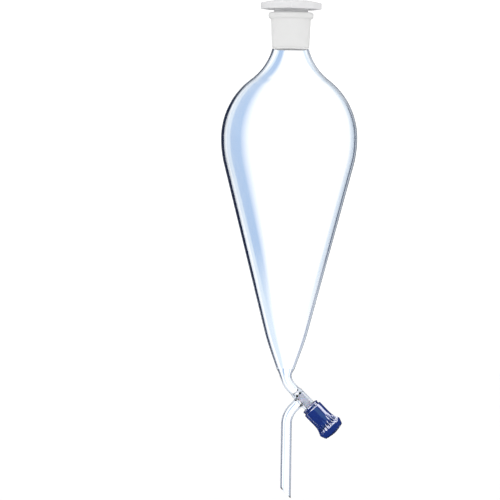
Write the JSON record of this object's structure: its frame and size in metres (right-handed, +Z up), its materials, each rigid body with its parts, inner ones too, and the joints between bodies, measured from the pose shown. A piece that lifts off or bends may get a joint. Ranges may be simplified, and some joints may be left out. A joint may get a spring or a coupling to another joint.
{
  "type": "separatory funnel",
  "caption": "Pear-shaped glass separatory funnel with a ground socket, an octagonal hollow stopper and an angled needle valve with a fluted screw knob.",
  "frame": {"origin": "on the funnel's axis, in the plane where the cone is 80 mm across and a support ring carries it", "axes": "+Z up along the funnel's axis towards the stopper, +X towards the side that the valve's knob points to"},
  "size_m": [0.1146, 0.1146, 0.418],
  "materials": {
    "clear_glass": "polished borosilicate",
    "ground_glass": "frosted by grinding",
    "polyethylene": "translucent white, satin",
    "ptfe": "waxy white",
    "elastomer": "matt black",
    "blue_plastic": "glossy dark blue",
    "spring_steel": "bright spring steel"
  },
  "bodies": {
    "glass": {"ground_socket": "ground_glass", "pear_body": "clear_glass", "valve_barrel": "clear_glass", "drip_stem": "clear_glass"},
    "stopper": {"stopper": "polyethylene"},
    "spindle": {"valve_spindle": "ptfe", "spindle_o_ring_1": "elastomer", "spindle_o_ring_2": "elastomer", "spindle_clip": "spring_steel"},
    "knob": {"valve_knob": "blue_plastic", "knob_end_cap": "blue_plastic"}
  },
  "joints": [
    {"name": "stopper_lift", "type": "slide", "parent": "glass", "child": "stopper", "axis": [0, 0, 1], "range_m": [0, 0.045]},
    {"name": "spindle_slide", "type": "slide", "parent": "glass", "child": "spindle", "axis": [0.7071, 0, -0.7071], "range_m": [0, 0.0075]},
    {"name": "knob_turn", "type": "hinge", "parent": "spindle", "child": "knob", "pos_m": [0, 0, -0.1258], "axis": [0.7071, 0, -0.7071], "range_deg": [0, 900]}
  ],
  "couplings": [
    {"joint": "spindle_slide", "follows": "knob_turn", "m_per_rad": 0.000477}
  ]
}
